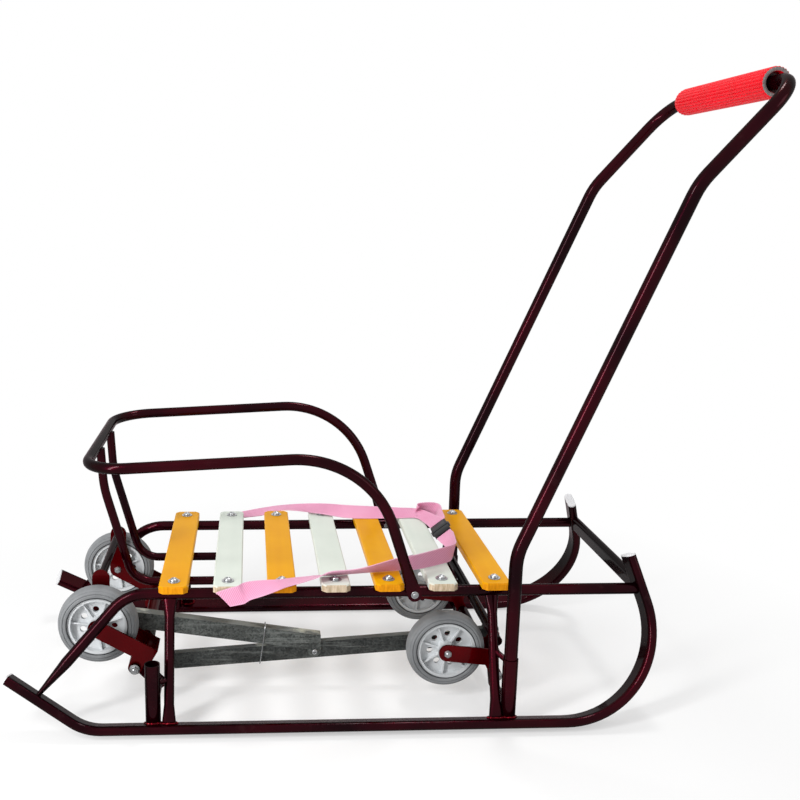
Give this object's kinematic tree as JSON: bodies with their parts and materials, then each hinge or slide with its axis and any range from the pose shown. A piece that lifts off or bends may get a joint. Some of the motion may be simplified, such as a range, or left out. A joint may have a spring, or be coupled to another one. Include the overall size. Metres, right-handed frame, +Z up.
{
  "type": "stroller sled",
  "caption": "Child's tubular sled with slatted seat, hoop backrest, lift-out push handle and wheels that swing down on linked forks.",
  "frame": {"origin": "middle of the overall box at ground level, under the runners", "axes": "+X forwards, the way the child faces; +Y to the child's left; +Z up"},
  "size_m": [1.0332, 0.4462, 0.8875],
  "materials": {
    "frame_paint": "gloss cherry enamel",
    "bracket_paint": "gloss red enamel",
    "grip_foam": "ribbed soft plastic",
    "slat_yellow": "lacquered",
    "slat_white": "lacquered",
    "tyre": "matt grey",
    "hub_plastic": "satin",
    "cap_plastic": "silver",
    "link_steel": "weathered zinc",
    "zinc": "bright zinc"
  },
  "bodies": {
    "frame": {"runner_right": "frame_paint", "runner_cap_rear_right": "cap_plastic", "runner_cap_front_right": "cap_plastic", "seat_rail_right": "frame_paint", "post_rear_right": "frame_paint", "post_front_right": "frame_paint", "runner_left": "frame_paint", "runner_cap_rear_left": "cap_plastic", "runner_cap_front_left": "cap_plastic", "seat_rail_left": "frame_paint", "post_rear_left": "frame_paint", "post_front_left": "frame_paint", "socket_rear_right": "frame_paint", "socket_rear_left": "frame_paint", "socket_front_right": "frame_paint", "socket_front_left": "frame_paint", "front_tie_bar": "frame_paint", "footrest_bar": "frame_paint", "seat_cross_tube": "frame_paint", "slat_1": "slat_yellow", "slat_2": "slat_white", "slat_3": "slat_yellow", "slat_4": "slat_white", "slat_5": "slat_yellow", "slat_6": "slat_white", "slat_7": "slat_yellow", "backrest_hoop": "frame_paint", "backrest_post_right": "frame_paint", "backrest_post_left": "frame_paint", "pivot_carrier_rear_right": "frame_paint", "pivot_carrier_rear_left": "frame_paint", "pivot_carrier_front_right": "frame_paint", "pivot_carrier_front_left": "frame_paint"},
    "rear_carriage": {"fork_rear_right": "bracket_paint", "axle_rear_right": "zinc", "fork_rear_left": "bracket_paint", "axle_rear_left": "zinc", "rear_cross_tube": "bracket_paint", "pedal_bar": "frame_paint"},
    "wheel_rear_right": {"wheel_hub_rear_right": "hub_plastic", "tyre_rear_right": "tyre"},
    "wheel_rear_left": {"wheel_hub_rear_left": "hub_plastic", "tyre_rear_left": "tyre"},
    "front_carriage": {"fork_front_right": "bracket_paint", "axle_front_right": "zinc", "fork_front_left": "bracket_paint", "axle_front_left": "zinc", "front_cross_tube": "frame_paint", "crank_pin": "zinc"},
    "wheel_front_right": {"wheel_hub_front_right": "hub_plastic", "tyre_front_right": "tyre"},
    "wheel_front_left": {"wheel_hub_front_left": "hub_plastic", "tyre_front_left": "tyre"},
    "link": {"link_channel": "link_steel", "link_bar": "link_steel", "link_bolt": "zinc"},
    "push_handle": {"handle": "frame_paint", "grip": "grip_foam"}
  },
  "joints": [
    {"name": "rear_wheels_lower", "type": "hinge", "parent": "frame", "child": "rear_carriage", "pos_m": [-0.34439, 0, 0.0637], "axis": [0, -1, 0], "range_deg": [0, 90]},
    {"name": "front_wheels_lower", "type": "hinge", "parent": "frame", "child": "front_carriage", "pos_m": [0.17861, 0, 0.0443], "axis": [0, -1, 0], "range_deg": [0, 49.6]},
    {"name": "link_rear_pivot", "type": "hinge", "parent": "rear_carriage", "child": "link", "pos_m": [-0.33317, -0.07005, 0.08724], "axis": [0, -1, 0], "range_deg": [-90.1, 0]},
    {"name": "handle_lift_out", "type": "slide", "parent": "frame", "child": "push_handle", "axis": [-0.0052, 0, 1], "range_m": [0, 0.085]},
    {"name": "wheel_rear_right_spin", "type": "hinge", "parent": "rear_carriage", "child": "wheel_rear_right", "pos_m": [-0.39688, -0.11305, 0.12387], "axis": [0, 1, 0], "continuous": true},
    {"name": "wheel_rear_left_spin", "type": "hinge", "parent": "rear_carriage", "child": "wheel_rear_left", "pos_m": [-0.39688, 0.11305, 0.12387], "axis": [0, 1, 0], "continuous": true},
    {"name": "wheel_front_right_spin", "type": "hinge", "parent": "front_carriage", "child": "wheel_front_right", "pos_m": [0.10584, -0.11305, 0.07876], "axis": [0, 1, 0], "continuous": true},
    {"name": "wheel_front_left_spin", "type": "hinge", "parent": "front_carriage", "child": "wheel_front_left", "pos_m": [0.10584, 0.11305, 0.07876], "axis": [0, 1, 0], "continuous": true}
  ],
  "couplings": [
    {"joint": "front_wheels_lower", "follows": "rear_wheels_lower", "ratio": 0.55},
    {"joint": "link_rear_pivot", "follows": "rear_wheels_lower", "ratio": -1}
  ]
}
